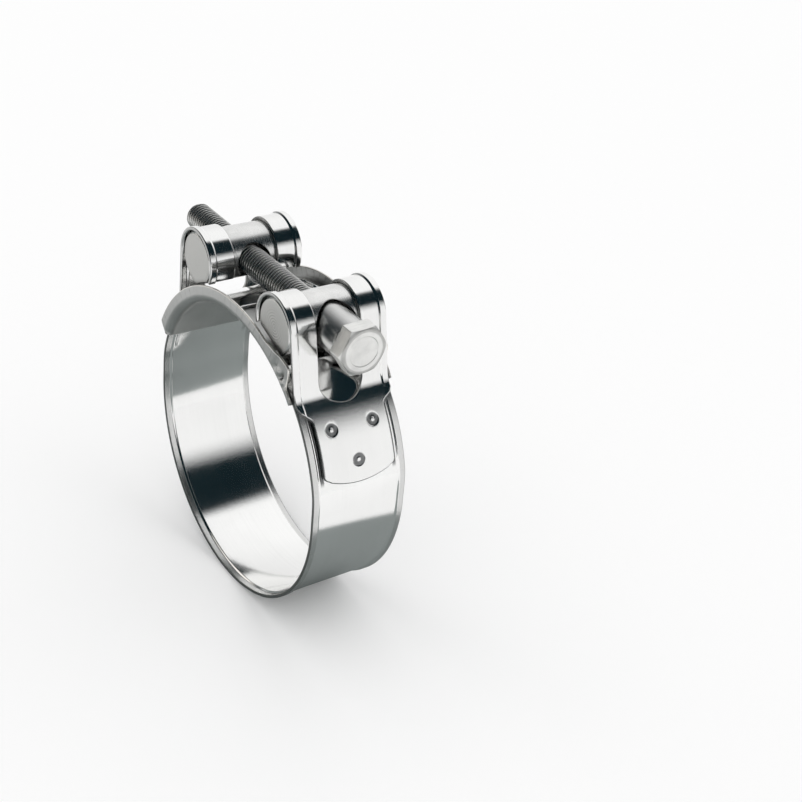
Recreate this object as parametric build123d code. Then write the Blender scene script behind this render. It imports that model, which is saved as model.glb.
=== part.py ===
"""Heavy-duty hose clamp closed by one bolt.

A steel band runs round the hose and is open at the top. A folded bracket is spot-welded to the
outside of each end and loops over a round pin with one flat side. The bolt passes a spacer
sleeve and a plain hole in the front pin, and screws into the rear pin, so turning it draws the
two ends together. An arched bridge with two side flanges closes the gap inside the band.

Millimetres. The hose's axis is Y through the origin, the bolt lies along X with its head at +X,
and Z is up. Polar angles are in degrees, from +X towards +Z.
"""

from build123d import *
import os
from math import acos, atan2, cos, degrees, radians, sin, sqrt, tan

# Ring
bore_diameter = 73.0
band_width = 25.0
band_sheet = 0.8
rim_width = 1.5
rim_rise = 0.4
rim_slope = 0.5
band_front_end = 67.0
band_rear_end = 93.0
band_corner_radius = 2.5
joggle_start = 4.0
joggle_end = 11.0

# Bridge
bridge_sheet = 0.6
bridge_front_end = 46.5
bridge_rear_end = 155.5
bridge_flange = 3.8
bridge_bend = 1.6
bridge_bend_flats = 3
bridge_side_gap = 0.6
bridge_slide_gap = 0.05
flange_slant = 2.0
flange_rise_angle = 70.0
flange_front_angle = 57.0
flange_front_lift = 1.5
flange_corner_radius = 1.6
crimp_low = 50.5
crimp_high = 55.5
crimp_overlap = 1.9
crimp_gap = 0.1

# Brackets
bracket_sheet = 0.9
weld_gap = 0.05
foot_width = 19.0
foot_end = 14.8
foot_end_bow = 2.2
foot_corner_radius = 1.6
shoulder_height = 2.3
shoulder_drop = 0.1
front_leg_lean = 11.0
rear_leg_lean = 1.0
root_bend = 6.0
slot_width = 11.5
slot_above_fold = 0.1
front_wrap = 196.0
rear_wrap = 206.0
weld_diameter = 3.3
weld_core_diameter = 1.5
weld_depth = 0.25
weld_pair_share = 0.667
weld_pair_spacing = 11.0
weld_single_share = 0.264

# Pins
bolt_lift = 3.95
front_pin_x = 16.2
rear_pin_x = -20.9
pin_diameter = 13.3
pin_inset = 0.35
pin_chamfer = 0.4
loop_clearance = 0.06
front_pin_cut = 2.25
rear_pin_cut = 0.75
spacer_pocket_diameter = 11.7
spacer_seat = 2.2
thread_mouth_diameter = 8.6

# Bolt and spacer
thread_diameter = 7.0
thread_clearance = 0.05
shank_clearance = 0.25
head_across_flats = 11.0
head_height = 4.2
head_turn = 2.5
head_face_diameter = 10.6
head_chamfer_angle = 30.0
head_dish_diameter = 7.6
head_dish_depth = 0.15
tail_length = 16.6
tail_chamfer = 1.0
spacer_wall = 1.45
spacer_length = 11.5
spacer_chamfer = 0.35
end_play = 0.05

# Radii and places that follow from the sizes above
bore_radius = bore_diameter / 2
floor_outside = bore_radius + bridge_sheet
flange_top = floor_outside + bridge_flange
raised_radius = bore_radius + bridge_sheet + bridge_slide_gap
raised_outside = raised_radius + band_sheet
foot_radius = raised_outside + weld_gap
bolt_height = raised_outside + bolt_lift
pin_radius = pin_diameter / 2
loop_radius = pin_radius + loop_clearance
band_edge = band_width / 2
flange_inside = band_edge + bridge_side_gap
shank_hole_radius = thread_diameter / 2 + shank_clearance
spacer_start = front_pin_x + spacer_seat + end_play
head_back = spacer_start + spacer_length + end_play
tail_end = rear_pin_x - pin_radius - tail_length


def polar(radius, angle):
    """A point of the XZ plane."""
    return radius * cos(radians(angle)), radius * sin(radians(angle))


def block(x_low, x_high, y_low, y_high):
    """A rectangle given by its sides."""
    middle = Pos((x_low + x_high) / 2, (y_low + y_high) / 2)
    return middle * Rectangle(x_high - x_low, y_high - y_low)


def slab(outline, y_low, y_high):
    """A flat face in x and z, carried from one y to another."""
    plane = Plane((0, y_low, 0), (1, 0, 0), (0, -1, 0))
    return extrude(plane * outline, amount=y_high - y_low, dir=(0, 1, 0))


def rod(diameter, x_low, x_high, height):
    """A round bar along X at the given height."""
    length = x_high - x_low
    return Pos((x_low + x_high) / 2, 0, height) * Rot(0, 90, 0) * Cylinder(diameter / 2, length)


def cone(start_diameter, end_diameter, x_start, x_end, height):
    """A tapered bar along X, from its first diameter to its second."""
    length = abs(x_end - x_start)
    turn = 90 if x_end > x_start else -90
    shape = Cone(start_diameter / 2, end_diameter / 2, length)
    return Pos((x_start + x_end) / 2, 0, height) * Rot(0, turn, 0) * shape


def turned(profile):
    """A solid turned about the bolt's axis, from points of x and radius."""
    first, last = profile[0][0], profile[-1][0]
    points = [(x, bolt_height + radius) for x, radius in profile]
    outline = Polyline((first, bolt_height), *points, (last, bolt_height), close=True)
    return revolve(Plane.XZ * make_face(outline), Axis((0, 0, bolt_height), (1, 0, 0)))


def at_angle(section, angle):
    """A section drawn at +X, turned about the hose's axis to a polar angle."""
    return Rot(0, -angle, 0) * section


def sector(section, low, high):
    """A section of radius and y, turned about the hose's axis between two polar angles."""
    return revolve(at_angle(section, high), Axis.Y, revolution_arc=high - low)


def band_section(inner_radius):
    """The strip's section, flat in the middle, with both edges raised outward."""
    rim = band_edge - rim_width
    half = [(0, rim - rim_slope), (rim_rise, rim), (rim_rise, band_edge)]
    inner = [(inner_radius + rise, y) for rise, y in half]
    outer = [(radius + band_sheet, y) for radius, y in reversed(inner)]
    upper = inner + outer
    lower = [(radius, -y) for radius, y in reversed(upper)]
    return make_face(Polyline(*upper, *lower, close=True))


def end_corner_cut(angle, direction, side):
    """What rounds one corner at an end of the strip, which runs on in the given x direction."""
    radius = band_corner_radius
    corner = block(-1, radius, -1, radius) - Pos(radius, radius) * Circle(radius)
    plane = Plane((0, side * band_edge, 0), (direction, 0, 0), (0, 0, -side * direction))
    cut = extrude(plane * corner, amount=raised_outside + 2 * rim_rise, dir=(0, 0, 1))
    return Rot(0, 90 - angle, 0) * cut


def make_band():
    """The strip round the hose. Its upper part stands out by the bridge's thickness."""
    low_section = band_section(bore_radius)
    raised_section = band_section(raised_radius)
    strip = sector(low_section, 180 - joggle_start, 360 + joggle_start)
    strip += sector(raised_section, joggle_end, band_front_end)
    strip += sector(raised_section, band_rear_end, 180 - joggle_end)
    for low, raised in ((joggle_start, joggle_end), (180 - joggle_start, 180 - joggle_end)):
        ends = at_angle(low_section, low), at_angle(raised_section, raised)
        strip += loft([end.faces()[0] for end in ends], ruled=True)
    for angle, direction in ((band_front_end, 1), (band_rear_end, -1)):
        for side in (-1, 1):
            strip -= end_corner_cut(angle, direction, side)
    return strip


def bridge_outline():
    """The bridge seen along the hose's axis. Its flanges rise to a corner near the front end."""
    rear_top = bridge_rear_end - flange_slant
    rise = polar(flange_top, flange_rise_angle)
    front_top = polar(flange_top + flange_front_lift, flange_front_angle)
    front_end = polar(floor_outside, bridge_front_end)
    rear_end = polar(floor_outside, bridge_rear_end)
    front_low = polar(bore_radius - bridge_sheet, bridge_front_end - flange_slant)
    rear_low = polar(bore_radius - bridge_sheet, bridge_rear_end + flange_slant)
    top = CenterArc((0, 0), flange_top, flange_rise_angle, rear_top - flange_rise_angle)
    rest = Polyline(polar(flange_top, rear_top), rear_end, rear_low, front_low, front_end)
    front = Polyline(front_end, front_top, rise)
    outline = make_face([top, rest, front])
    corners = [
        outline.vertices().sort_by_distance((*point, 0))[0]
        for point in (front_top, polar(flange_top, rear_top))
    ]
    return fillet(corners, flange_corner_radius)


def channel(floor, side, bend, reach):
    """A channel's filled section in radius and y, each of its bends drawn as a few short flats."""
    turns = [radians(90 * step / bridge_bend_flats) for step in range(bridge_bend_flats + 1)]
    half = [(floor + bend * (1 - cos(turn)), side - bend * (1 - sin(turn))) for turn in turns]
    half.append((reach, side))
    return make_face(Polyline(*half, *[(radius, -y) for radius, y in reversed(half)], close=True))


def make_bridge():
    """The arched plate inside the gap, a channel with a crimp over the strip at its front end."""
    reach = flange_top + 2 * flange_front_lift
    flange_outside = flange_inside + bridge_sheet
    tray = channel(bore_radius, flange_outside, bridge_bend + bridge_sheet, reach)
    hollow = channel(floor_outside, flange_inside, bridge_bend, 2 * reach)
    bridge = sector(tray - hollow, bridge_front_end, bridge_rear_end)

    crimp_inside = raised_outside + rim_rise + crimp_gap
    crimp_outside = crimp_inside + bridge_sheet
    opening = band_edge - crimp_overlap
    cover = block(crimp_inside, crimp_outside, -flange_outside, flange_outside)
    cover -= block(crimp_inside, crimp_outside, -opening, opening)
    bridge += sector(cover, crimp_low, crimp_high)
    return bridge & slab(bridge_outline(), -band_width, band_width)


def bracket_root(pin_x, lean):
    """Where the leg bends away from the ring: the bend's centre, its polar angle and radius."""
    bend = root_bend + bracket_sheet
    reach = pin_x * cos(radians(lean)) + bolt_height * sin(radians(lean))
    angle = lean + degrees(acos((loop_radius + bend + reach) / (foot_radius + bend)))
    return polar(foot_radius + bend, angle), angle, bend


def bracket_line(pin_x, lean, wrap, lift):
    """One face of the folded strip, at a lift from its inner face, from foot to hook."""
    centre, root, bend = bracket_root(pin_x, lean)
    normal = polar(1, lean)
    pin = pin_x, bolt_height
    leg_low = tuple(c - n * (bend - lift) for c, n in zip(centre, normal))
    leg_high = tuple(c + n * (loop_radius + lift) for c, n in zip(pin, normal))
    return [
        CenterArc((0, 0), foot_radius + lift, foot_end, root - foot_end),
        CenterArc(centre, bend - lift, root + 180, lean - root),
        Line(leg_low, leg_high),
        CenterArc(pin, loop_radius + lift, lean, wrap - lean),
    ]


def bracket_strip(side_view, lift, y_low, y_high):
    """The folded sheet between two values of y, for a pin's x, a leg's lean and a hook's wrap."""
    inner = bracket_line(*side_view, lift)
    outer = bracket_line(*side_view, lift + bracket_sheet)
    caps = [Line(inner[0] @ 0, outer[0] @ 0), Line(inner[-1] @ 1, outer[-1] @ 1)]
    return slab(make_face(inner + outer + caps), y_low, y_high)


def bracket_plan(fold):
    """The bracket's outline in y and z: tongue, shoulders and full width, with the slot."""
    top = bolt_height + 2 * pin_diameter
    shoulder = fold - shoulder_drop
    foot_edge = foot_width / 2
    foot_low = foot_radius * sin(radians(foot_end))
    foot_side = foot_low + foot_end_bow
    right = [
        Line((foot_edge, foot_side), (foot_edge, shoulder - shoulder_height)),
        Line((foot_edge, shoulder - shoulder_height), (band_edge, shoulder)),
        Line((band_edge, shoulder), (band_edge, top)),
    ]
    left = [mirror(line, about=Plane.YZ) for line in right]
    across = Line((-band_edge, top), (band_edge, top))
    bow = ThreePointArc((-foot_edge, foot_side), (0, foot_low), (foot_edge, foot_side))
    plan = make_face(right + left + [across, bow])
    corners = [v for v in plan.vertices() if abs(v.Y - foot_side) < foot_end_bow / 10]
    plan = fillet(corners, foot_corner_radius)
    slot_low = fold + slot_above_fold + slot_width / 2
    slot = block(-slot_width / 2, slot_width / 2, slot_low, top)
    return plan - slot - Pos(0, slot_low) * Circle(slot_width / 2)


def weld_mark(angle, y):
    """One spot weld's shallow ring in the foot's outer face."""
    outside = foot_radius + bracket_sheet
    ring = Cylinder(weld_diameter / 2, 2 * weld_depth)
    ring -= Cylinder(weld_core_diameter / 2, 2 * weld_depth)
    return at_angle(Pos(outside, y, 0) * Rot(0, 90, 0) * ring, angle)


def make_bracket(pin_x, lean, wrap):
    """A folded bracket on the +X side: foot on the band, leg, and loop over the pin."""
    side_view = pin_x, lean, wrap
    root = bracket_root(pin_x, lean)[1]
    fold = foot_radius * sin(radians(root))
    rim_inside = band_edge - rim_width - rim_slope
    strip = bracket_strip(side_view, 0, -rim_inside, rim_inside)
    for y_low, y_high in ((-band_edge, -rim_inside), (rim_inside, band_edge)):
        strip += bracket_strip(side_view, rim_rise, y_low, y_high)
    plan = extrude(Plane.YZ * bracket_plan(fold), amount=bore_diameter)
    bracket = strip & plan
    foot_turn = root - foot_end
    for side in (-1, 1):
        bracket -= weld_mark(foot_end + weld_pair_share * foot_turn, side * weld_pair_spacing / 2)
    return bracket - weld_mark(foot_end + weld_single_share * foot_turn, 0)


def pin_blank(pin_x, cut):
    """A round pin across the band, with a flat cut to a depth on the side that faces the hose."""
    toward_hose = degrees(atan2(-bolt_height, -pin_x))
    flat = pin_radius - cut
    round_face = Circle(pin_radius) - block(flat, 2 * pin_radius, -pin_radius, pin_radius)
    face = Plane.XZ * (Pos(pin_x, bolt_height) * Rot(0, 0, toward_hose) * round_face)
    pin = extrude(face, amount=band_edge - pin_inset, both=True)
    ends = pin.faces().sort_by(Axis.Y)
    return chamfer(ends[0].edges() + ends[-1].edges(), pin_chamfer)


def make_front_pin():
    """The pin on the head's side, with a plain hole and a pocket for the spacer."""
    pin = pin_blank(front_pin_x, front_pin_cut)
    reach = front_pin_x + pin_diameter
    pin -= rod(2 * shank_hole_radius, front_pin_x - pin_diameter, reach, bolt_height)
    return pin - rod(spacer_pocket_diameter, front_pin_x + spacer_seat, reach, bolt_height)


def make_rear_pin():
    """The pin that the bolt screws into, its hole widened at both mouths."""
    hole = thread_diameter / 2 + thread_clearance
    mouth = thread_mouth_diameter / 2
    edge = sqrt(pin_radius**2 - mouth**2)
    half = [(edge - (mouth - hole), hole), (edge, mouth), (pin_diameter, mouth)]
    profile = [(-x, radius) for x, radius in reversed(half)] + half
    bore = turned([(rear_pin_x + x, radius) for x, radius in profile])
    return pin_blank(rear_pin_x, rear_pin_cut) - bore


def make_bolt():
    """A hexagon bolt: chamfered head with a shallow dish, and a shank with a bevelled tail."""
    head_front = head_back + head_height
    hexagon = RegularPolygon(head_across_flats / 2, 6, major_radius=False, rotation=head_turn)
    head = Pos(head_back, 0, bolt_height) * extrude(Plane.YZ * hexagon, amount=head_height)
    base = head_face_diameter + 2 * head_height / tan(radians(head_chamfer_angle))
    head &= cone(base, head_face_diameter, head_back, head_front, bolt_height)
    dish = rod(head_dish_diameter, head_front - head_dish_depth, head_front, bolt_height)
    shank = rod(thread_diameter, tail_end + tail_chamfer, head_back, bolt_height)
    tip = thread_diameter - 2 * tail_chamfer
    tail = cone(thread_diameter, tip, tail_end + tail_chamfer, tail_end, bolt_height)
    return head - dish + shank + tail


def make_spacer():
    """The smooth sleeve between the front pin and the bolt's head."""
    bore = 2 * shank_hole_radius
    end = spacer_start + spacer_length
    sleeve = rod(bore + 2 * spacer_wall, spacer_start, end, bolt_height)
    rims = sleeve.faces().sort_by(Axis.X)
    sleeve = chamfer(rims[0].edges() + rims[-1].edges(), spacer_chamfer)
    return sleeve - rod(bore, spacer_start, end, bolt_height)


pieces = {
    "band": make_band(),
    "bridge": make_bridge(),
    "front_bracket": make_bracket(front_pin_x, front_leg_lean, front_wrap),
    "rear_bracket": mirror(make_bracket(-rear_pin_x, rear_leg_lean, rear_wrap), about=Plane.YZ),
    "front_pin": make_front_pin(),
    "rear_pin": make_rear_pin(),
    "bolt": make_bolt(),
    "spacer": make_spacer(),
}

os.makedirs("parts", exist_ok=True)
for name, piece in pieces.items():
    export_step(piece, f"parts/{name}.step")
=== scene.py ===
"""Heavy-duty hose clamp closed by one bolt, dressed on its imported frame.

Sizes are in millimetres, in the frame of the solids: the hose's axis is Y through the origin,
the bolt lies along X with its head at +X, and Z is up. Polar angles run from +X towards +Z.
"""

import bmesh
import bpy
import numpy as np
from mathutils import Matrix


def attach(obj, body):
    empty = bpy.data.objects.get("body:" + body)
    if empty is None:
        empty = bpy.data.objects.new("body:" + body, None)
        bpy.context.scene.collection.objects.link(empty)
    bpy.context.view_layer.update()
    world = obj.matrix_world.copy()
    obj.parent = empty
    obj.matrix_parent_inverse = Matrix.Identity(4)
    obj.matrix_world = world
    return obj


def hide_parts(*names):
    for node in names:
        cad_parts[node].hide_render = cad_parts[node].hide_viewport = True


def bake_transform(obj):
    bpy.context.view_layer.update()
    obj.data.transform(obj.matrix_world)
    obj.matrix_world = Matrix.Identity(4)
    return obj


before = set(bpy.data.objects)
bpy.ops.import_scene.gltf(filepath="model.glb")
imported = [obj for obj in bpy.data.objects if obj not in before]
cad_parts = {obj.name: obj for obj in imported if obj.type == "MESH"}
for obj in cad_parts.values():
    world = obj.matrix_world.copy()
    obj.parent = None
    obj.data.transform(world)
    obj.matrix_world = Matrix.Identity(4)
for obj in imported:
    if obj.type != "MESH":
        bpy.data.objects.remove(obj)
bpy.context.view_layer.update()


# Camera and room
# The clamp stands on its ring on a white table. A white wall behind it, a white card beside the
# bolt's head and a cream card on the left light the polished steel. Black walls give it its dark
# bands, and a grey patch under the ring, seen only in reflections, is painted shadow on the table.

mm = 0.001
picture_size = 802
picture_middle_x, picture_middle_y = 409.65, 397.61
focal_length = 1418.97
sensor_width = 36.0
camera_target = np.array([51.93, 0.0, 40.05])
camera_distance = 297.25

scene = bpy.context.scene
scene.view_settings.view_transform = "Standard"

azimuth, elevation, roll = np.radians([52.19, 30.77, 6.30])
back = np.array([
    np.sin(azimuth) * np.cos(elevation), -np.cos(azimuth) * np.cos(elevation), np.sin(elevation)])
across = np.array([np.cos(azimuth), np.sin(azimuth), 0.0])
upward = np.cross(back, across)
across, upward = (
    np.cos(roll) * across + np.sin(roll) * upward,
    np.cos(roll) * upward - np.sin(roll) * across)
camera_place = camera_target + camera_distance * back
camera = bpy.data.objects.new("camera", bpy.data.cameras.new("camera"))
scene.collection.objects.link(camera)
camera.matrix_world = Matrix([
    [*row, value * mm] for row, value in zip(np.stack([across, upward, back], 1), camera_place)
] + [[0, 0, 0, 1]])
camera.data.sensor_width = sensor_width
camera.data.lens = focal_length / picture_size * sensor_width
camera.data.shift_x = (picture_size / 2 - picture_middle_x) / picture_size
camera.data.shift_y = (picture_middle_y - picture_size / 2) / picture_size
camera.data.clip_start = 0.01
scene.camera = camera

world = bpy.data.worlds.new("room")
scene.world = world
world.use_nodes = True
world.node_tree.nodes["Background"].inputs["Color"].default_value = (1.0, 1.0, 1.0, 1.0)
world.node_tree.nodes["Background"].inputs["Strength"].default_value = 1.0


class Wire:
    """A socket in a node tree. Python's operators on it add Math nodes to the same tree."""

    def __init__(self, tree, socket=None):
        self.tree, self.socket = tree, socket

    def add(self, kind, sockets=None, output=0, **settings):
        """A new node: its settings first, then the values or links of its sockets."""
        node = self.tree.nodes.new(kind)
        for key, value in settings.items():
            setattr(node, key, value)
        for key, value in (sockets or {}).items():
            if isinstance(value, Wire):
                self.tree.links.new(value.socket, node.inputs[key])
            else:
                node.inputs[key].default_value = value
        return Wire(self.tree, node.outputs[output])

    def reckon(self, operation, *values):
        """A Math node of that operation on the values."""
        return self.add("ShaderNodeMath", dict(enumerate(values)), operation=operation)

    def __add__(self, other):
        return self.reckon("ADD", self, other)

    def __radd__(self, other):
        return self.reckon("ADD", other, self)

    def __sub__(self, other):
        return self.reckon("SUBTRACT", self, other)

    def __rsub__(self, other):
        return self.reckon("SUBTRACT", other, self)

    def __mul__(self, other):
        return self.reckon("MULTIPLY", self, other)

    def __pow__(self, other):
        return self.reckon("POWER", self, other)

    def __abs__(self):
        return self.reckon("ABSOLUTE", self)

    def step(self, low, high):
        """0 below the first value, 1 above the second, and smooth between."""
        return self.add(
            "ShaderNodeMapRange", {"Value": self, "From Min": low, "From Max": high},
            interpolation_type="SMOOTHSTEP")

    def position(self):
        """The point's object coordinates in metres: as a vector, and its x, y and z."""
        point = self.add("ShaderNodeTexCoord", output=3)
        return point, *(self.add("ShaderNodeSeparateXYZ", {0: point}, output=k) for k in range(3))

    def noise(self, vector, scale, detail, roughness=0.5):
        """Noise over a vector, or over an x, y and z."""
        if isinstance(vector, tuple):
            vector = self.add("ShaderNodeCombineXYZ", dict(enumerate(vector)))
        return self.add("ShaderNodeTexNoise", {
            "Vector": vector, "Scale": scale, "Detail": detail, "Roughness": roughness})

    def marked(self, name):
        """The number that the mesh keeps for each point under that name."""
        return self.add("ShaderNodeAttribute", output=2, attribute_name=name)

    def mix(self, share, first, second):
        """The first colour, passing into the second by the share. A Mix node keeps its share in
        socket 0 and its colours in 6 and 7."""
        first, second = (
            colour if isinstance(colour, Wire) else (*colour, 1.0) for colour in (first, second))
        return self.add(
            "ShaderNodeMix", {0: share, 6: first, 7: second}, output=2, data_type="RGBA")


def root_of_squares(first, second):
    """The distance that two sockets at right angles make together."""
    return (first * first + second * second) ** 0.5


def new_material(name):
    """An empty material, its shader and a wire to start its maths from."""
    material = bpy.data.materials.new(name)
    material.use_nodes = True
    shader = material.node_tree.nodes["Principled BSDF"]
    return material, shader, Wire(material.node_tree)


def grid_faces(rows, places, row_ring=False, place_ring=True):
    """The quads of a grid of points, row after row: each takes two neighbours of one row and the
    two of the next. In a ring the last is the neighbour of the first."""
    row, place = np.meshgrid(
        np.arange(rows if row_ring else rows - 1),
        np.arange(places if place_ring else places - 1), indexing="ij")
    after, beside = (row + 1) % rows, (place + 1) % places
    return np.stack([
        row * places + place, row * places + beside,
        after * places + beside, after * places + place], -1).reshape(-1, 4)


def stage_board(name, points, shade, cover=None, faces=((0, 1, 2, 3),)):
    """A board of the studio from corners in mm. Where a cover is given, it is a function of the
    wire that starts the maths. The board is then seen only in reflections, and is clear where the
    cover's value is 0."""
    mesh = bpy.data.meshes.new(name)
    mesh.from_pydata((np.array(points, float) * mm).tolist(), [], np.array(faces).tolist())
    board = bpy.data.objects.new(name, mesh)
    scene.collection.objects.link(board)
    material, shader, wire = new_material(name)
    shader.inputs["Base Color"].default_value = (*shade, 1.0)
    shader.inputs["Roughness"].default_value = 1.0
    shader.inputs["Specular IOR Level"].default_value = 0.0
    if cover:
        board.visible_camera = board.visible_diffuse = board.visible_shadow = False
        clear = wire.add("ShaderNodeBsdfTransparent")
        solid = Wire(wire.tree, shader.outputs[0])
        mixed = wire.add("ShaderNodeMixShader", {0: cover(wire), 1: clear, 2: solid})
        wire.tree.links.new(mixed.socket, wire.tree.nodes["Material Output"].inputs["Surface"])
    mesh.materials.append(material)


def black_walls(wire):
    """The walls are black but for the soft white one at the back. Seen from above, the cloth is
    clear near that wall's middle, full 60 degrees to the right of it, and full 98 to the left."""
    _, x, y, _ = wire.position()
    middle = np.radians(123.5)
    ahead = x * np.cos(middle) + y * np.sin(middle)
    aside = y * np.cos(middle) - x * np.sin(middle)
    turn = wire.reckon("ARCTAN2", aside, ahead)
    return (0 - turn).step(*np.radians([38.0, 60.0])) + turn.step(*np.radians([14.0, 98.0]))


def faded_card(wire):
    """The cards beside the clamp fade upwards from 80 to 195 mm over the hose's axis."""
    _, _, _, z = wire.position()
    return 1 - z.step(80 * mm, 195 * mm)


def table_shadow_cover(wire):
    """Painted shadow on the table under the ring, seen only in reflections: full within 107 mm of its
    own middle, gone at 115 mm.
    """
    _, x, y, _ = wire.position()
    return 1 - root_of_squares(x + 25 * mm, y + 25 * mm).step(107 * mm, 115 * mm)


table_height = -37.75
table_reach, shadow_patch_reach, room_radius = 3000.0, 180.0, 1500.0
card_top = 200
square = np.array([[-1, -1], [1, -1], [1, 1], [-1, 1]])
stage_board("table", np.c_[square * table_reach, [table_height] * 4], (0.985, 0.985, 0.985))
# A grey patch under the ring, seen only in reflections: painted shadow on the table
stage_board(
    "table_shadow_patch", np.c_[square * shadow_patch_reach, [table_height + 0.02] * 4], (0.265, 0.29, 0.287),
    table_shadow_cover)
rise, turn = np.meshgrid(
    np.radians(np.linspace(-10, 90, 21)), np.radians(np.arange(0, 360, 10)), indexing="ij")
dome = np.stack([np.cos(turn) * np.cos(rise), np.sin(turn) * np.cos(rise), np.sin(rise)], -1)
stage_board(
    "black_cloth", dome.reshape(-1, 3) * room_radius, (0.006, 0.014, 0.018), black_walls,
    grid_faces(*rise.shape))
stage_board(
    "white_card",
    [[184, -60, table_height], [184, 260, table_height], [184, 260, card_top], [184, -60, card_top]],
    (0.98, 0.98, 0.98), faded_card)
stage_board(
    "cream_card", [[-300, -130, 10], [-130, -300, 10], [-130, -300, 190], [-300, -130, 190]],
    (0.98, 0.95, 0.9), faded_card)


# Strip round the hose
# A 0.8 mm strip of bright rolled stainless steel, bent round the hose and open at the top. Both
# its edges are raised, its two ends are rounded, and it stands out where it lies on the bridge.

bore_radius = 36.5
raised_radius = 37.15
band_sheet = 0.8
band_edge = 12.5
band_rounding = 0.25
band_front_end, band_rear_end = 67.0, 93.0
band_corner = 2.5
hoop_front, hoop_rear = 10.0, 170.0
joggle_low, joggle_high = 2.0, 14.8
rim_start, rim_slope, rim_rise = 10.5, 0.5, 0.4


def smooth(value, low, high):
    """0 below low, 1 above high, and between them three times the square less twice the cube."""
    share = np.clip((value - low) / (high - low), 0.0, 1.0)
    return share * share * (3 - 2 * share)


def polar(radius, angle):
    """Points of the XZ plane at a radius and a polar angle in degrees, as x and z."""
    turn = np.radians(angle)
    return radius * np.cos(turn), radius * np.sin(turn)


def finished(mesh, sharp):
    """The mesh's object, shaded smooth but for edges that turn by more than the sharp angle."""
    mesh.polygons.foreach_set("use_smooth", np.ones(len(mesh.polygons), bool))
    mesh.set_sharp_from_angle(angle=np.radians(sharp))
    piece = bpy.data.objects.new(mesh.name, mesh)
    scene.collection.objects.link(piece)
    return piece


def skin(name, rows, ring=False, sharp=35.0):
    """A closed skin over rows of points, in mm, that each go once round a section. Place k of a
    section lies opposite place n - 1 - k, and quads across those pairs close the first and last
    row. The faces are turned over where the sum of their signed volumes, corner times the cross
    products of the others, comes out negative."""
    count, places, _ = rows.shape
    faces = grid_faces(count, places, row_ring=ring)
    if not ring:
        k = np.arange(places // 2 - 1)
        cap = np.stack([k, k + 1, places - 2 - k, places - 1 - k], -1)
        faces = np.concatenate([faces, cap[:, ::-1], cap + (count - 1) * places])
    points = rows.reshape(-1, 3)
    corners = points[faces]
    volume = np.einsum(
        "ij,ij->", corners[:, 0],
        np.cross(corners[:, 1], corners[:, 2]) + np.cross(corners[:, 2], corners[:, 3]))
    if volume < 0:
        faces = faces[:, ::-1]
    mesh = bpy.data.meshes.new(name)
    mesh.from_pydata((points * mm).tolist(), [], faces.tolist())
    return finished(mesh, sharp)


def mark(piece, name, values):
    """One number for each point, kept on the mesh under that name for its material."""
    layer = piece.data.attributes.new(name, "FLOAT", "POINT")
    layer.data.foreach_set("value", np.asarray(values, np.float32).ravel())


half_columns = np.array([
    0.12, 0.24, 0.36, 0.48, 0.6, 0.7, 0.78, 0.83, 0.85, 0.857, 0.863, 0.869, 0.875, 0.881,
    0.887, 0.893, 0.9, 0.91, 0.93, 0.96, 0.985, 1.0])
band_columns = np.concatenate([-half_columns[::-1], [0.0], half_columns])


def strip_section(half_width):
    """The strip's section, one row for each half width: y across the inner face, round the edge by
    two quarter circles and back along the outer face, and the height off the inner face."""
    half_width = half_width[:, None]
    turn = np.radians(np.arange(15.0, 90.0, 15.0))[None]
    flat = (half_width - band_rounding) * band_columns
    edge_y = half_width - band_rounding + band_rounding * np.sin(turn)
    edge_height = band_rounding - band_rounding * np.cos(turn) + 0 * half_width
    y = np.concatenate([
        -edge_y[:, ::-1], flat, edge_y,
        edge_y[:, ::-1], flat[:, ::-1], -edge_y], 1)
    height = np.concatenate([
        edge_height[:, ::-1], 0 * flat, edge_height,
        band_sheet - edge_height[:, ::-1], band_sheet + 0 * flat, band_sheet - edge_height], 1)
    return y, height


def rim_lift(y):
    """The raised edges: a smooth step of the rim's height where the rim starts."""
    return rim_rise * smooth(abs(y), rim_start, rim_start + rim_slope)


def joggle(angle):
    """How far the strip stands out: a smooth step of its angle over the horizontal."""
    over_side = np.degrees(np.arcsin(np.sin(np.radians(angle))))
    return (raised_radius - bore_radius) * smooth(over_side, joggle_low, joggle_high)


def band_piece(name, angles, half_width, pinch):
    """A length of the strip. Its section is turned about the hose's axis through the angles, and
    the pinch draws both faces together to round an end."""
    y, height = strip_section(half_width)
    height = band_sheet / 2 + (height - band_sheet / 2) * pinch[:, None] + rim_lift(y)
    x, z = polar(bore_radius + joggle(angles)[:, None] + height, angles[:, None])
    piece = skin(name, np.stack([x, y, z], -1))
    rim_top = rim_start + rim_slope
    # Painted shade over the raised rims' tops, kept with the duller cut edges under cut_edge
    rim_shade = 0.35 * smooth(abs(y), rim_top - 0.1, rim_top + 0.1)
    mark(piece, "cut_edge", np.maximum(rim_shade, smooth(abs(y), band_edge - 0.3, band_edge - 0.16)))
    return piece


def rounded_end(radius, thickness):
    """Rows near a strip's end with rounded corners: the distance from the end is the radius less
    its cosine share, the width grows by the sine, and the thickness by a small quarter circle."""
    turn = np.radians(np.array([0.0, 4, 8, 12, 16, 20, 26, 34, 44, 54, 66, 78, 90]))
    distance = radius * (1 - np.cos(turn))
    narrow = radius * (1 - np.sin(turn))
    bevel = 0.3 * thickness
    near = np.clip(1 - distance / bevel, 0, 1)
    pinch = 1 - 2 * bevel / thickness * (1 - np.sqrt(1 - near ** 2))
    return distance, narrow, pinch


def band_to_end(name, start, end):
    """The strip by steps of one degree from an angle to near its end, then its rounded end."""
    way = np.sign(end - start)
    run = np.arange(start, end - way * 5.0, way)
    distance, narrow, pinch = (rows[::-1] for rows in rounded_end(band_corner, band_sheet))
    return band_piece(
        name,
        np.concatenate([run, end - way * np.degrees(distance / raised_radius)]),
        np.concatenate([0 * run + band_edge, band_edge - narrow]),
        np.concatenate([0 * run + 1, pinch]))


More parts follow.
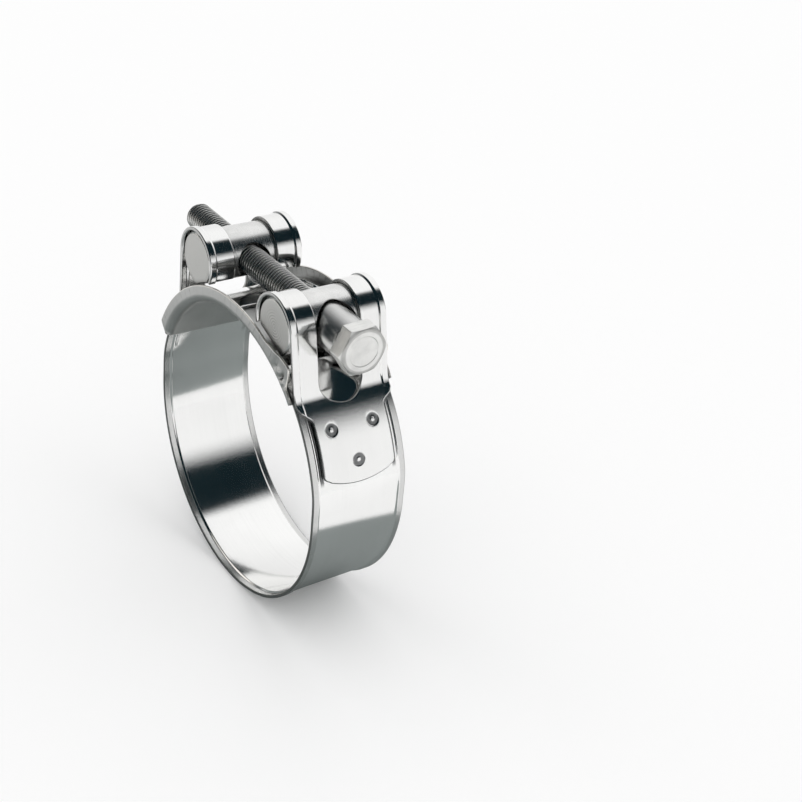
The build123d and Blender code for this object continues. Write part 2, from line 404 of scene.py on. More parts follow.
band_front = band_to_end("band_front", hoop_front, band_front_end)
band_rear = band_to_end("band_rear", hoop_rear, band_rear_end)
hoop_run = np.linspace(hoop_rear, hoop_front + 360.0, 201)
band_hoop = band_piece("band_hoop", hoop_run, 0 * hoop_run + band_edge, 0 * hoop_run + 1)


def metal(material, shader, tint, roughness, height, depth):
    """The material as a metal of that tint and roughness, with a bump of the height times depth."""
    shader.inputs["Metallic"].default_value = 1.0
    bump = height.add("ShaderNodeBump", {"Strength": 1.0, "Distance": depth, "Height": height})
    for socket, value in (("Base Color", tint), ("Roughness", roughness), ("Normal", bump)):
        value.tree.links.new(value.socket, shader.inputs[socket])
    return material


def strip_steel(name, shade, roughness, grain, stain_and_shade):
    """Rolled stainless steel. Its grain runs lengthwise: noise that is fine in y and long in x and
    z sets roughness and bump. Cut edges are duller, and the last argument, a function of the wire
    and of x, y and z, gives where the steel is dark and rough: burnt weld rings, and painted shade
    beside and along the brackets' feet."""
    material, shader, wire = new_material(name)
    point, x, y, z = wire.position()
    lines = wire.noise((x * 22.0, y * 2600.0, z * 22.0), 1.0, 5.0, 0.6)
    cloud = wire.noise(point, 60.0, 4.0)
    fine = wire.noise(point, 900.0, 3.0)
    cut_edge = wire.marked("cut_edge")
    dark = stain_and_shade(wire, x, y, z)
    tint = wire.mix(
        cloud.step(0.35, 0.7) * 0.6 + lines.step(0.3, 0.7) * 0.4,
        [part * 0.93 for part in shade], shade)
    # On the strip, the cut-edge share also holds painted shade over the raised rims
    tint = wire.mix(cut_edge, tint, (0.24, 0.245, 0.24))
    # Dark share: burnt weld rings, and painted shade beside and along the brackets' feet
    tint = wire.mix(dark, tint, (0.06, 0.065, 0.068))
    return metal(
        material, shader, tint, roughness + lines * 0.05 + cloud * 0.05 + cut_edge * 0.3 + dark * 0.12,
        lines * 0.2 + fine * (grain + cut_edge * 3.0) - dark * 14.0, 0.01 * mm)


def foot_crevice_shade(wire, x, y, z):
    """Painted shadow on the strip in the crevice beside a bracket's foot: close to 9.7 mm from the
    strip's middle, over the turn that the foot covers, on the outer face."""
    turn = wire.reckon("ARCTAN2", z, abs(x))
    near = 1 - abs(abs(y) - 9.7 * mm).step(0.3 * mm, 0.6 * mm)
    covered = turn.step(*np.radians([15.5, 18.0])) * (1 - turn.step(*np.radians([41.0, 44.0])))
    return near * covered * root_of_squares(x, z).step(37.0 * mm, 37.4 * mm) * 0.85


polished = strip_steel("polished_strip", (0.96, 0.96, 0.95), 0.06, 0.4, foot_crevice_shade)
for piece in (band_front, band_rear, band_hoop):
    piece.data.materials.append(polished)
    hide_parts("band")
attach(band_front, "ring")
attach(band_rear, "rear_end")
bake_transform(band_hoop)


# Bridge
# An arched channel of dull 0.6 mm stainless sheet that closes the gap inside the strip. Its side
# flanges stand up beside the strip and rise to a rounded corner at the front. There they are
# crimped over the strip's edges.

bridge_sheet = 0.6
bridge_bend = 1.6
bridge_front, bridge_rear = 46.5, 155.5
flange_inside = 13.1
flange_top = 40.9
flange_turns = np.array([bridge_front, 49.0, 51.0, 51.9, 53.4, 55.0, 56.2, 68.5, 153.5, bridge_rear])
flange_tops = np.array([38.9, 39.2, 39.3, 39.6, 41.2, 43.3, 43.5, flange_top, flange_top, 37.5])
pit_turn, pit_radius = 55.7, 39.3


def flange_edge(angle):
    """The flanges' top radius. The mean of its outline over 0.6 degrees either way rounds it."""
    shifts = np.linspace(-0.6, 0.6, 13)
    return np.mean([np.interp(angle + shift, flange_turns, flange_tops) for shift in shifts], axis=0)


def bridge_rows(angles):
    """The channel's section at each angle: along the floor's upper face, up the bend and flange to
    the flange's top, over the rounded edge and back down outside. Mirrored for the other side."""
    top = flange_edge(angles)[:, None]
    floor = np.array([0.0, 2.0, 4.0, 6.0, 8.0, 10.0, 11.2])[None] + 0 * top
    turn = np.radians(np.linspace(0.0, 90.0, 13))[None]
    share = np.linspace(0.03, 0.97, 21)[None]
    edge = 0.22

    def wall(radius, side, bend):
        """Floor, bend and flange from a radius and side. Where the flange is low, the bend and
        what is left of the flange are squeezed to its height."""
        room = top - edge - radius
        reach = np.maximum(room - bend, 0.3)
        squeeze = np.minimum(1.0, room / (bend + reach))
        y = np.concatenate([
            floor, side - bend * (1 - np.sin(turn)) + 0 * top, side + 0 * (share * reach)], 1)
        height = np.concatenate([
            0 * floor, bend * (1 - np.cos(turn)) + 0 * top, bend + share * reach], 1)
        return y, radius + squeeze * height

    inner_y, inner_r = wall(bore_radius + bridge_sheet, flange_inside, bridge_bend)
    outer_y, outer_r = wall(bore_radius, flange_inside + bridge_sheet, bridge_bend + bridge_sheet)
    curl = np.radians([20.0, 45.0, 70.0])
    lip_in = edge * (1 - np.cos(curl)) + 0 * top
    lip_up = top - edge + edge * np.sin(curl)
    half_y = np.concatenate([
        inner_y, flange_inside + lip_in, flange_inside + bridge_sheet - lip_in[:, ::-1],
        outer_y[:, ::-1]], 1)
    half_r = np.concatenate([inner_r, lip_up, lip_up[:, ::-1], outer_r[:, ::-1]], 1)
    lip = inner_y.shape[1] + len(curl)

    def mirrored(half, sign):
        """Both halves, so that the faces' middles lie opposite each other: first all the upper
        face from lip to lip, then all the lower one."""
        upper, lower = sign * half[:, 1:lip][:, ::-1], sign * half[:, lip:-1][:, ::-1]
        return np.concatenate([upper, half, lower], 1)

    return mirrored(half_y, -1), mirrored(half_r, 1)


bridge_run = np.concatenate([
    np.linspace(bridge_front, 62.0, 63), np.linspace(63.0, 152.0, 90),
    np.linspace(152.5, bridge_rear, 10)])
bridge_turn = bridge_run[:, None]
y, radius = bridge_rows(bridge_run)

# Bulges and dents of the crimp, each a bell curve of angle and radius in a shallow sunk field
bulge = sum(
    height * np.exp(-((bridge_turn - turn) / wide) ** 2 - ((radius - middle) / tall) ** 2)
    for turn, middle, wide, tall, height in (
        (60.1, 39.2, 0.45, 0.45, -0.25), (57.9, 39.3, 1.0, 0.8, 0.4),
        (pit_turn, pit_radius, 0.6, 0.9, -0.9), (53.8, 38.9, 0.8, 0.8, 0.4)))
sunk = 0.4 * smooth(bridge_turn, 51.0, 53.5) * (1 - smooth(bridge_turn, 60.0, 63.0))
sunk = sunk * smooth(radius, 37.5, 38.7)
y = y + np.sign(y) * (bulge - sunk) * smooth(abs(y), 12.9, 13.1)
x, z = polar(radius, bridge_turn)
bridge = skin("bridge_channel", np.stack([x, y, z], -1), sharp=40.0)
# Painted shade in the crimp's recess, for the material
mark(bridge, "pit", np.exp(
    -((bridge_turn - pit_turn) / 0.55) ** 2 - ((radius - pit_radius) / 0.7) ** 2))
bridge_top = flange_edge(bridge_run)[:, None]
mark(bridge, "cut_edge", smooth(radius, bridge_top - 0.26, bridge_top - 0.1))


def dull_sheet(name, shade):
    """Dull rolled sheet. Soft noise tints it, fine noise roughens it, and faint creases cross the
    flanges: a wave of the polar angle, strongest near their top."""
    material, shader, wire = new_material(name)
    point, x, y, z = wire.position()
    angle = wire.reckon("ARCTAN2", z, x)
    cloud = wire.noise(point, 120.0, 5.0)
    fine = wire.noise(point, 1800.0, 4.0)
    wave = wire.reckon("SINE", angle * 46.0 + cloud * 7.0)
    crease = abs(wave) ** 40.0 * root_of_squares(x, z).step(38.0 * mm, 40.0 * mm)
    tint = wire.mix(cloud.step(0.3, 0.75), [part * 0.9 for part in shade], shade)
    tint = wire.mix(crease * cloud.step(0.35, 0.6) * 0.35, tint, (0.2, 0.2, 0.19))
    tint = wire.mix(wire.marked("cut_edge"), tint, (0.9, 0.88, 0.84))
    # Painted shade darkens the crimp's recess
    tint = wire.mix(wire.marked("pit") * 0.75, tint, (0.1, 0.1, 0.095))
    return metal(
        material, shader, tint, 0.34 + fine * 0.08 + cloud * 0.06,
        fine * 0.6 + cloud * 1.2 + crease * 2.0, 0.02 * mm)


bridge.data.materials.append(dull_sheet("dull_sheet", (0.55, 0.555, 0.545)))
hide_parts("bridge")
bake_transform(bridge)


# Folded brackets
# Each is one piece of bright 0.9 mm stainless sheet, spot-welded to the strip at three points,
# folded up into a leg with a slot for the bolt, and rolled into two loops over a round pin.

bolt_height = 41.9
front_pin_x, rear_pin_x = 16.2, -20.9
bracket_sheet = 0.9
bracket_rounding = 0.28
foot_radius = 38.0
foot_end = 14.8
foot_edge = 9.5
foot_bow, foot_corner = 2.2, 1.6
root_bend = 6.9
loop_radius = 6.71
slot_radius = 5.75
weld_aside, pair_share, single_share = 5.5, 0.667, 0.264


def fold_line(pin_x, lean, wrap):
    """The folded sheet's line in x and z: the foot's arc round the hose, the root's bend, the
    straight leg and the loop's arc round the pin. Gives the root's angle, the ends of the four
    stretches along the line, and the function that folds the flat sheet."""
    normal = np.array(polar(1.0, lean))
    pin = np.array([pin_x, bolt_height])
    reach = loop_radius + root_bend + pin @ normal
    root = lean + np.degrees(np.arccos(reach / (foot_radius + root_bend)))
    centre = np.array(polar(foot_radius + root_bend, root))
    low, high = centre - root_bend * normal, pin + loop_radius * normal
    middle = bracket_sheet / 2
    leg = np.hypot(*(high - low))
    ends = np.cumsum([
        0.0,
        (foot_radius + middle) * np.radians(root - foot_end),
        (root_bend - middle) * np.radians(root - lean),
        leg,
        (loop_radius + middle) * np.radians(wrap - lean)])

    def folded(distance, height):
        """From distance along the line and height off its inner face to x and z: an arc's turn is
        the distance over its middle radius, and the leg runs straight from low to high."""
        foot_turn = foot_end + np.degrees(distance / (foot_radius + middle))
        bend_turn = root + 180 - np.degrees((distance - ends[1]) / (root_bend - middle))
        loop_turn = lean + np.degrees((distance - ends[3]) / (loop_radius + middle))
        foot = polar(foot_radius + height, foot_turn)
        bend = polar(root_bend - height, bend_turn)
        loop = polar(loop_radius + height, loop_turn)
        along = (distance - ends[2]) / leg
        part = [distance < end for end in ends[1:4]]
        return [np.select(
            part,
            [foot[k], centre[k] + bend[k], low[k] + along * (high - low)[k] + normal[k] * height],
            pin[k] + loop[k]) for k in range(2)]

    return root, ends, folded


def spread(points, count):
    """The same line as evenly spaced points: its places by the share of its length."""
    steps = np.hypot(*np.diff(points, axis=0).T)
    length = np.concatenate([[0.0], np.cumsum(steps)])
    wanted = np.linspace(0.0, length[-1], count)
    return np.stack([np.interp(wanted, length, points[:, k]) for k in range(2)], 1)


def arc(centre, radius, start, end, count):
    """Points on a circle's arc between two angles in degrees."""
    turn = np.radians(np.linspace(start, end, count))
    return np.stack([centre[0] + radius * np.cos(turn), centre[1] + radius * np.sin(turn)], 1)


def bracket_outlines(root, ends, folded, slot_drop):
    """The slot's edge and the outer edge of the flat sheet, as y and distance along the fold. Both
    run from one loop's tip down to the middle line and up to the other's, matched point to
    point: beside the slot and round its bottom, and down the shoulder and round the foot."""
    fine = np.linspace(0.0, ends[3] + 4.0, 2000)
    height = folded(fine, 0 * fine + bracket_sheet)[1]
    fold = foot_radius * np.sin(np.radians(root))
    slot_low, shoulder_high, shoulder_low = np.interp(
        [fold + 0.1 - slot_drop + slot_radius, fold - 0.1, fold - 2.4], height, fine)
    tip = ends[-1]
    loop = np.concatenate([
        tip - np.array([0.0, 0.015, 0.06, 0.13, 0.2, 0.28, 0.4]),
        np.linspace(tip - 0.6, slot_low + 0.05, 118)])
    count = 120
    s_curve = np.linspace(0, 1, 30)
    shoulder = np.stack([
        band_edge - (band_edge - foot_edge) * smooth(s_curve, 0.0, 1.0) ** 0.8,
        shoulder_high + (shoulder_low - shoulder_high) * s_curve], 1)
    bowed_y = np.linspace(foot_edge - foot_corner - 0.2, 0.0, 12)
    foot = np.concatenate([
        [[band_edge, slot_low]],
        arc((band_edge - 0.5, shoulder_high + 0.5), 0.5, 0.0, -60.0, 6),
        shoulder[6:],
        [[foot_edge, foot_bow + foot_corner]],
        arc((foot_edge - foot_corner, foot_bow + foot_corner - 0.35), foot_corner, 0.0, -72.0, 14),
        np.stack([bowed_y, foot_bow * (bowed_y / foot_edge) ** 2], 1)])
    inner = np.concatenate([
        np.stack([0 * loop + slot_radius, loop], 1),
        arc((0.0, slot_low), slot_radius, 0.0, -90.0, count)])
    outer = np.concatenate([np.stack([0 * loop + band_edge, loop], 1), spread(foot, count)])
    return [np.concatenate([line, (line * [-1.0, 1.0])[:-1][::-1]]) for line in (inner, outer)]


def outline_normals(line, middle):
    """Unit normals of an outline, away from the middle: its tangent by central differences,
    turned square."""
    tangent = np.gradient(line, axis=0)
    tangent /= np.hypot(*tangent.T)[:, None]
    normal = np.stack([tangent[:, 1], -tangent[:, 0]], 1)
    return normal * np.sign(((line - middle) * normal).sum(1))[:, None]


def make_bracket(name, line, side, welds, slot_drop):
    """The folded sheet as one skin: lines run from the slot's edge to the outer edge, from one
    loop's tip round the slot's bottom to the other's. Both edges are rounded by quarter circles
    along their own normals, and the line's function folds the flat sheet. The side is 1 in front
    and -1 behind, and the slot's bottom lies lower than the fold by the slot's drop."""
    root, ends, folded = line
    inner, outer = bracket_outlines(root, ends, folded, slot_drop)
    inner_normal, outer_normal = (outline_normals(edge, (inner + outer) / 2) for edge in (inner, outer))
    flat_inner = inner - inner_normal * bracket_rounding
    flat_outer = outer - outer_normal * bracket_rounding

    face_shares = np.array([
        0.0, 0.02, 0.06, 0.12, 0.18, 0.24, 0.3, 0.36, 0.42, 0.48, 0.53, 0.58, 0.62, 0.65, 0.675,
        0.69, 0.705, 0.72, 0.735, 0.75, 0.765, 0.78, 0.8, 0.83, 0.87, 0.91, 0.95, 0.98, 1.0])
    face_shares = np.sort(np.concatenate([face_shares, np.linspace(0.03, 0.97, 27)]))
    back_shares = face_shares[::2]
    turn = np.radians([70.0, 50.0, 30.0, 12.0])
    out = bracket_rounding * np.cos(turn)
    out = np.concatenate([out, out[::-1]])[:, None]
    drop = bracket_rounding * (1 - np.sin(turn))
    edge_height = np.concatenate([bracket_sheet - drop, drop[::-1]])

    def between(shares):
        """Places on each line at shares of the way from its inner to its outer end."""
        return flat_inner[:, None] + shares[None, :, None] * (flat_outer - flat_inner)[:, None]

    plan = np.concatenate([
        between(face_shares), flat_outer[:, None] + out * outer_normal[:, None],
        between(back_shares)[:, ::-1], flat_inner[:, None] + out[::-1] * inner_normal[:, None]], 1)
    height = np.concatenate([
        bracket_sheet + 0 * face_shares, edge_height, 0 * back_shares, edge_height[::-1]])
    wide, distance = plan[..., 0], plan[..., 1]

    # Both faces draw together at the loops' tips
    near = np.clip(1 - (ends[-1] - distance) / bracket_rounding, 0, 1)
    pinch = 1 - 2 * bracket_rounding / bracket_sheet * (1 - np.sqrt(1 - near ** 2))
    depth = 1 - abs(height / bracket_sheet * 2 - 1)
    height = bracket_sheet / 2 + (height - bracket_sheet / 2) * pinch

    # Raised edges, and in the foot's outer face the ring marks of the welds
    height = height + rim_lift(wide)
    outer_face = smooth(height, 0.55, 0.85) * (distance < ends[1])
    for weld_y, weld_angle in welds:
        weld_distance = (foot_radius + bracket_sheet / 2) * np.radians(weld_angle - foot_end)
        ring = np.hypot(wide - weld_y, distance - weld_distance)
        height = height - outer_face * 0.1 * smooth(ring, 0.3, 0.95) * (1 - smooth(ring, 1.1, 1.9))
    x, z = folded(distance, height)
    piece = skin(name, np.stack([side * x, wide, z], -1), sharp=40.0)
    mark(piece, "cut_edge", 0.65 * np.maximum(smooth(depth, 0.06, 0.4), smooth(near, 0.5, 0.9)))
    # Painted shade along the sheet's edges round the foot
    mark(piece, "foot_edge_shade", smooth(depth, 0.0, 0.1) * (1 - smooth(distance, ends[1] - 1.0, ends[1] + 1.5)))
    return piece


def weld_places(root):
    """The pair and the single weld as y and polar angle, by their shares of the foot's arc."""
    pair = foot_end + pair_share * (root - foot_end)
    single = foot_end + single_share * (root - foot_end)
    return [(weld_aside, pair), (-weld_aside, pair), (0.0, single)]


def weld_rings_and_edge_shade(welds, side):
    """Burnt rings round the three welds. The distance from a weld is the root of the squares of y
    and of the arc along the foot, and the ring is dark from about 0.5 to 1.6 mm. Painted shade
    darkens the sheet's edges along the foot."""
    def rings(wire, x, y, z):
        turn = wire.reckon("ARCTAN2", z, x * side)
        dark = 0
        for weld_y, weld_turn in welds:
            along = (turn - np.radians(weld_turn)) * ((foot_radius + bracket_sheet) * mm)
            distance = root_of_squares(y - weld_y * mm, along)
            burnt = distance.step(0.3 * mm, 0.7 * mm) * (1 - distance.step(1.35 * mm, 1.8 * mm))
            dark = burnt + dark
        outside = root_of_squares(x, z).step(38.2 * mm, 38.5 * mm)
        # Burnt rings on the outer face, and painted shade along the foot's edges
        return dark * outside * 0.85 + wire.marked("foot_edge_shade") * 0.8
    return rings


for node, body, side, pin_x, lean, wrap, slot_drop in (
    ("front_bracket", "ring", 1, front_pin_x, 11.0, 196.0, 1.2),
    ("rear_bracket", "rear_end", -1, -rear_pin_x, 1.0, 206.0, 0.0),
):
    line = fold_line(pin_x, lean, wrap)
    welds = weld_places(line[0])
    piece = make_bracket(node + "_sheet", line, side, welds, slot_drop)
    piece.data.materials.append(strip_steel(
        node + "_steel", (0.93, 0.93, 0.92), 0.08, 0.5, weld_rings_and_edge_shade(welds, side)))
    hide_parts(node)
    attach(piece, body)


# Cross pins
# Two round pins of satin turned steel lie across the strip inside the loops. Each has one flat
# side towards the hose. The front one is bored for the bolt, the rear one is threaded for it.

pin_radius = 6.65
pin_end = band_edge - 0.35
mouth_bevel = 0.12


def pin_outline(toward_hose, cut):
    """The pin's outline seen along Y: a circle, and on the side towards the hose the flat, whose
    radius is its own distance over the cosine of the angle from it. As angles, x and z."""
    turn = np.linspace(-90.0, 270.0, 7201)
    cosine = np.maximum(np.cos(np.radians(turn - toward_hose)), 1e-6)
    return turn, *polar(np.minimum(pin_radius, (pin_radius - cut) / cosine), turn)


def pin_half(row_x, row_z, start):
    """Half of the pin, one row for each place on its outline: along the side from its start, over
    the bevel, and in over the end's face by shares of the distance from the axis."""
    reach = np.hypot(row_x, row_z)[:, None]
    shares = np.concatenate([[0, 0.02, 0.05], np.linspace(0.1, 1.0, 16)])
    along = start[:, None] + shares * (pin_end - 0.5 - start)[:, None]
    bevel_in, bevel_drop = np.array([(0.42, 0.0), (0.36, 0.04), (0.03, 0.37), (0.0, 0.44)]).T
    face = np.array([0.85, 0.6, 0.4, 0.2, 0.02])
    scale = np.concatenate([
        1 + 0 * along, (reach - bevel_drop) / reach, face * (reach - bevel_drop[-1]) / reach], 1)
    y = np.concatenate([along, pin_end - bevel_in + 0 * reach, pin_end + 0 * face * reach], 1)
    return np.stack([scale * row_x[:, None], y, scale * row_z[:, None]], -1)


def pin_mouth(lip, side, radius, depth):
    """A mouth's rings: its lip on the pin's surface, the wall's top behind a small bevel, and the
    wall's foot and the floor's inner ring at the depth. Each is the lip, scaled to its radius."""
    floor_x = 0 * lip[:, 0] + side * depth
    return np.stack([
        np.concatenate([ring_x[:, None], lip[:, 1:] * size / (radius + mouth_bevel)], 1)
        for ring_x, size in (
            (lip[:, 0], radius + mouth_bevel), (lip[:, 0] - side * 0.1, radius),
            (floor_x, radius), (floor_x, radius * 0.4))])


def cross_pin(name, pin_x, cut, mouths):
    """A pin of two mirrored halves. Their rows start at the edge of a mouth, the root of its radius
    squared less height squared, or else in the middle. The mouths are a radius and a depth, in
    front and behind. Halves and mouths are merged where they meet."""
    toward_hose = np.degrees(np.arctan2(-bolt_height, -pin_x))
    turn, x, z = pin_outline(toward_hose, cut)

    # Rows at even turns, close to the flat's corners, and at even steps round each mouth
    half_flat = np.degrees(np.arccos((pin_radius - cut) / pin_radius))
    corners = toward_hose + np.add.outer([-half_flat, half_flat], [-1.0, -0.1, 0.1, 1.0]).ravel()
    wanted = [np.arange(-90.0, 270.0, 4.0), (corners + 90) % 360 - 90]
    sides = ((1, -62.0, 62.0, *mouths[0]), (-1, 90.0, 268.0, *mouths[1]))
    for _, low, high, radius, _ in sides:
        part = (turn > low) & (turn < high)
        order = np.argsort(z[part])
        heights = (radius + mouth_bevel) * np.cos(np.radians(np.arange(0.0, 181.0, 6.0)))
        wanted.append(np.interp(heights, z[part][order], turn[part][order]))
    rows = np.unique(np.round(np.concatenate(wanted), 3))
    row_x, row_z = np.interp(rows, turn, x), np.interp(rows, turn, z)
    start = np.zeros(len(rows))
    for _, low, high, radius, _ in sides:
        lip_radius = radius + mouth_bevel
        inside = (rows > low) & (rows < high) & (abs(row_z) < lip_radius - 0.002)
        start = np.where(inside, np.sqrt(np.maximum(lip_radius ** 2 - row_z ** 2, 0)), start)

    half = pin_half(row_x, row_z, start)
    count, places, _ = half.shape
    quads = grid_faces(count, places, row_ring=True, place_ring=False)
    cap = np.arange(count)[::-1] * places + places - 1
    points, faces = np.zeros((0, 3)), []
    for sign in (1, -1):
        for polygons in (quads, cap[None]):
            faces += (polygons[:, ::sign] + len(points)).tolist()
        points = np.concatenate([points, (half * [1, sign, 1]).reshape(-1, 3)])
    for side, low, high, radius, depth in sides:
        rim = (rows > low) & (rows < high) & (abs(row_z) < radius + mouth_bevel + 0.001)
        lip = np.stack([row_x[rim], start[rim], row_z[rim]], -1)[np.argsort(row_z[rim])]
        rings = pin_mouth(np.concatenate([lip, (lip * [1, -1, 1])[::-1][1:-1]]), side, radius, depth)
        count, around, _ = rings.shape
        floor = np.arange(around) + (count - 1) * around
        for polygons in (grid_faces(count, around), floor[None]):
            faces += (polygons[:, ::-side] + len(points)).tolist()
        points = np.concatenate([points, rings.reshape(-1, 3)])

    mesh = bpy.data.meshes.new(name)
    mesh.from_pydata(((points + [pin_x, 0, bolt_height]) * mm).tolist(), [], faces)
    shape = bmesh.new()
    shape.from_mesh(mesh)
    bmesh.ops.remove_doubles(shape, verts=shape.verts, dist=0.004 * mm)
    bmesh.ops.recalc_face_normals(shape, faces=shape.faces)
    shape.to_mesh(mesh)
    shape.free()
    return finished(mesh, 30.0)


def turned_steel(name, shade, pin_x, mouths, facing):
    """Satin turned steel. Noise of y gives the tool's marks round the pin, and on its ends the sine
    of the distance from its axis gives the facing cut's rings. The mouths are painted dark inside:
    painted shade in the bores."""
    material, shader, wire = new_material(name)
    point, x, y, z = wire.position()
    aside, above = x - pin_x * mm, z - bolt_height * mm
    radius = root_of_squares(aside, above)
    rings = wire.noise((radius * 2000.0, y * 6000.0, 0.0), 1.0, 3.0)
    cloud = wire.noise(point, 250.0, 4.0)
    ends = abs(y).step((pin_end - 0.03) * mm, (pin_end - 0.01) * mm)
    groove = wire.reckon("SINE", radius * 9500.0 + cloud * 0.7) * (1 - radius.step(1.0 * mm, 5.8 * mm))
    from_bolt = root_of_squares(y, above)
    in_front = aside.step(-0.5 * mm, 0.5 * mm)
    # Painted shade inside the mouths' bores
    front_mouth, rear_mouth = (
        1 - from_bolt.step(size * mm, (size + 0.3) * mm) for size, _ in mouths)
    dark = in_front * front_mouth + (1 - in_front) * rear_mouth
    tint = wire.mix(
        cloud.step(0.3, 0.7) * (1 - ends) + ends * (0.4 - groove * (0.5 * facing)),
        [part * 0.86 for part in shade], shade)
    tint = wire.mix(ends * 0.6, tint, (0.45, 0.45, 0.43))
    tint = wire.mix(dark * 0.9, tint, (0.04, 0.04, 0.038))
    return metal(
        material, shader, tint, 0.2 + ends * 0.22 + rings * 0.08 + cloud * 0.05,
        (rings * 0.5 + cloud * 0.4) * (1 - ends * 0.5) + groove * ends * (3.0 * facing), 0.01 * mm)


for name, node, body, pin_x, cut, mouths, facing in (
    ("front_cross_pin", "front_pin", "front_trunnion", front_pin_x, 2.25,
     ((5.72, 2.2), (3.75, 4.0)), 1.0),
    ("rear_cross_pin", "rear_pin", "rear_trunnion", rear_pin_x, 0.75,
     ((4.3, 4.0), (4.3, 4.0)), 0.25),
):
    piece = cross_pin(name, pin_x, cut, mouths)
    piece.data.materials.append(
        turned_steel(node + "_steel", (0.84, 0.84, 0.83), pin_x, mouths, facing))
    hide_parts(node)
    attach(piece, body)


# Bolt
# A hexagon bolt of satin steel with a rolled thread of 1 mm pitch over its length. Its head has
# a chamfer and a bare shallow dish, and its tail is bevelled.

tail_end, thread_end, head_back, head_height = -44.15, 18.5, 30.0, 4.2
thread_radius, thread_depth, pitch, tail_bevel = 3.5, 0.54, 1.0, 1.0
head_flat, head_corner, head_turn = 5.5, 0.22, 2.5
head_face, dish_depth = 5.3, 0.15


def turned_rows(x, radius, count):
    """Rows round the bolt's axis at even turns: a row's radius is one number or one for each."""
    turn = np.radians(np.arange(count) * 360.0 / count)
    radius = radius.reshape(len(x), -1)
    return np.stack([
        x[:, None] + 0 * turn, radius * np.cos(turn), bolt_height + radius * np.sin(turn)], -1)


def thread_rows():
    """The thread: its radius falls from the crest by a rounded step of the phase, the x less the
    turn's share of the pitch, and the tail's bevel caps it."""
    count = 48
    x = np.concatenate([np.arange(tail_end, 19.0, pitch / 14), np.linspace(19.0, head_back + 0.1, 12)])
    phase = (x[:, None] / pitch - np.arange(count) / count) % 1.0
    crest = smooth(abs(phase - 0.5), 0.06, 0.42)
    fade = 1 - smooth(x, thread_end - 1.0, thread_end)[:, None]
    radius = thread_radius - 0.02 - thread_depth * (1 - crest) * fade
    bevel = thread_radius - tail_bevel + (x[:, None] - tail_end)
    return turned_rows(x, np.minimum(radius, bevel), count)


bolt_thread = skin("bolt_thread", thread_rows(), sharp=60.0)


def rounded_hexagon(flat, corner, turn):
    """A hexagon with rounded corners, as y and z: for each corner an arc about its own centre,
    then a straight flat to the next. The flat is its distance from the middle."""
    start = np.radians(np.arange(6) * 60.0 + turn)[:, None]
    middle = (flat - corner) / np.cos(np.radians(30.0))
    sweep = start + np.radians(np.linspace(-30.0, 30.0, 7))
    shares = np.linspace(0.0, 1.0, 11)[1:-1]
    outline = []
    for part in (np.cos, np.sin):
        rounded = middle * part(start) + corner * part(sweep)
        following = np.roll(rounded[:, :1], -1, axis=0)
        straight = rounded[:, -1:] + shares * (following - rounded[:, -1:])
        outline.append(np.concatenate([rounded, straight], 1).ravel())
    return outline


def head_rows():
    """The head from the middle of its dish to its back: circles in the dish and face, then the
    hexagon, whose front edge falls with its own radius at 30 degrees."""
    hex_y, hex_z = rounded_hexagon(head_flat, head_corner, head_turn)
    reach = np.hypot(hex_y, hex_z)
    front = head_back + head_height

    def row(x, radius):
        """The hexagon drawn in to a radius, the same all round or one for each place."""
        share = radius / reach
        return np.stack([x + 0 * reach, hex_y * share, bolt_height + hex_z * share], -1)

    rows = [row(front - drop, radius) for drop, radius in (
        (dish_depth, 0.05), (dish_depth, 1.0), (dish_depth, 2.0), (dish_depth, 3.0),
        (dish_depth, 3.5), (0.13, 3.6), (0.07, 3.68), (0.01, 3.76), (0.0, 3.85), (0.0, 4.5),
        (0.0, 5.1), (0.01, 5.22), (0.04, head_face))]
    slope = (reach - head_face) * np.tan(np.radians(30.0)) + 0.04
    for share in (0.35, 0.7, 0.92, 1.0):
        rows.append(row(front - slope * share, head_face + (reach - head_face) * share))
    top = front - slope - 0.1
    for share in (0.0, 0.08, 0.3, 0.6, 0.9, 1.0):
        rows.append(row(top + share * (head_back + 0.25 - top), reach))
    for lift, inset in ((0.2, 0.0), (0.05, 0.05), (0.0, 0.2)):
        rows.append(row(head_back + lift, reach - inset))
    return np.stack(rows + [row(head_back, 3.4)])


bolt_head = skin("bolt_head", head_rows(), sharp=25.0)


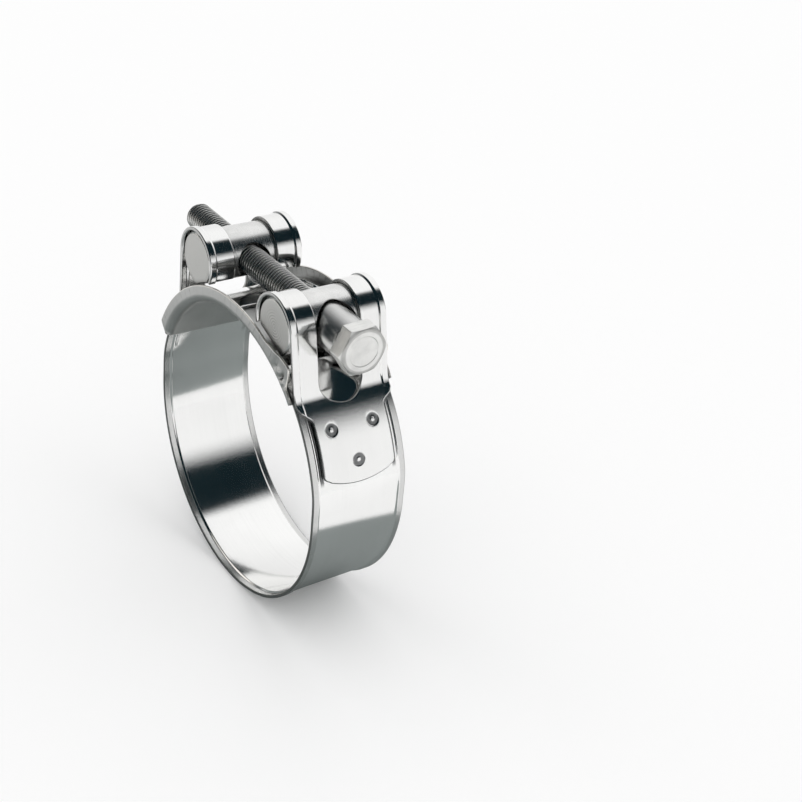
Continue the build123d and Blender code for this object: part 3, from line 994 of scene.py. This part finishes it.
def bolt_finish(name, shade):
    """Satin bolt steel. The head has brush lines across its sides, noise that is fine in x. The
    thread's valleys are painted dark, a painted shade, and its crests left bright, by the distance
    from the axis. The head's chamfer and underside are darkened too: painted shade."""
    material, shader, wire = new_material(name)
    point, x, y, z = wire.position()
    radius = root_of_squares(y, z - bolt_height * mm)
    brushed = wire.noise((x * 5000.0, y * 350.0, z * 350.0), 1.0, 4.0)
    cloud = wire.noise(point, 200.0, 5.0)
    front = head_back + head_height
    threaded = 1 - x.step((thread_end - 0.5) * mm, thread_end * mm)
    face = x.step((front - 0.5) * mm, (front - 0.2) * mm)
    # Painted shade on the head's chamfer
    bevelled = face * radius.step(4.6 * mm, 5.0 * mm)
    head = x.step((head_back - 0.2) * mm, (head_back - 0.1) * mm)
    # Painted shade under the head
    below = 1 - x.step((head_back + 0.02) * mm, (head_back + 0.06) * mm)
    # Painted shade in the thread's valleys
    valley = (1 - radius.step(3.1 * mm, 3.45 * mm)) * threaded
    dull = cloud.step(0.3, 0.7) * 0.2 + brushed.step(0.4, 0.7) * head * 0.2 + threaded * 0.6 + face * 0.2
    tint = wire.mix(dull, shade, [part * 0.55 for part in shade])
    tint = wire.mix(valley * 0.92 + bevelled * 0.4 + below * head * 0.8, tint, (0.09, 0.09, 0.085))
    return metal(
        material, shader, tint, 0.2 + head * 0.16 + valley * 0.2 + cloud * 0.1,
        brushed * head * (1 - face) * 0.9 + cloud * (1.2 + face), 0.01 * mm)


bolt_steel = bolt_finish("bolt_steel", (0.93, 0.93, 0.91))
for piece in (bolt_thread, bolt_head):
    piece.data.materials.append(bolt_steel)
    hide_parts("bolt")
    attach(piece, "bolt")


# Spacer
# A smooth steel sleeve round the bolt, between the front pin's pocket and the bolt's head. It is
# cut from drawn tube, and its ends are rounded on the outside.

spacer_start, spacer_end = 18.45, 29.95
spacer_bore, spacer_outside = 3.75, 5.2
spacer_rim = np.array([
    (0.3, spacer_bore), (0.1, spacer_bore + 0.1), (0.0, spacer_bore + 0.3),
    (0.0, spacer_outside - 0.6), (0.0, spacer_outside - 0.35), (0.05, spacer_outside - 0.22),
    (0.15, spacer_outside - 0.12), (0.3, spacer_outside - 0.03), (0.5, spacer_outside),
    (1.0, spacer_outside), (4.0, spacer_outside)])
spacer_x = np.concatenate([spacer_start + spacer_rim[:, 0], spacer_end - spacer_rim[::-1, 0]])
spacer_radius = np.concatenate([spacer_rim[:, 1], spacer_rim[::-1, 1]])
spacer = skin("spacer_sleeve", turned_rows(spacer_x, spacer_radius, 96), ring=True, sharp=40.0)


def sleeve_steel(name, shade):
    """Smooth drawn tube: noise that is fine in y and z and long in x, and soft clouds."""
    material, shader, wire = new_material(name)
    point, x, y, z = wire.position()
    drawn = wire.noise((x * 120.0, y * 3000.0, z * 3000.0), 1.0, 3.0)
    cloud = wire.noise(point, 250.0, 4.0)
    tint = wire.mix(
        cloud.step(0.3, 0.7) * 0.5 + drawn.step(0.35, 0.7) * 0.5, shade,
        [part * 0.88 for part in shade])
    return metal(
        material, shader, tint, 0.22 + drawn * 0.08 + cloud * 0.06, drawn * 0.8 + cloud * 0.6, 0.01 * mm)


spacer.data.materials.append(sleeve_steel("sleeve_steel", (0.72, 0.72, 0.71)))
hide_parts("spacer")
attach(spacer, "front_trunnion")
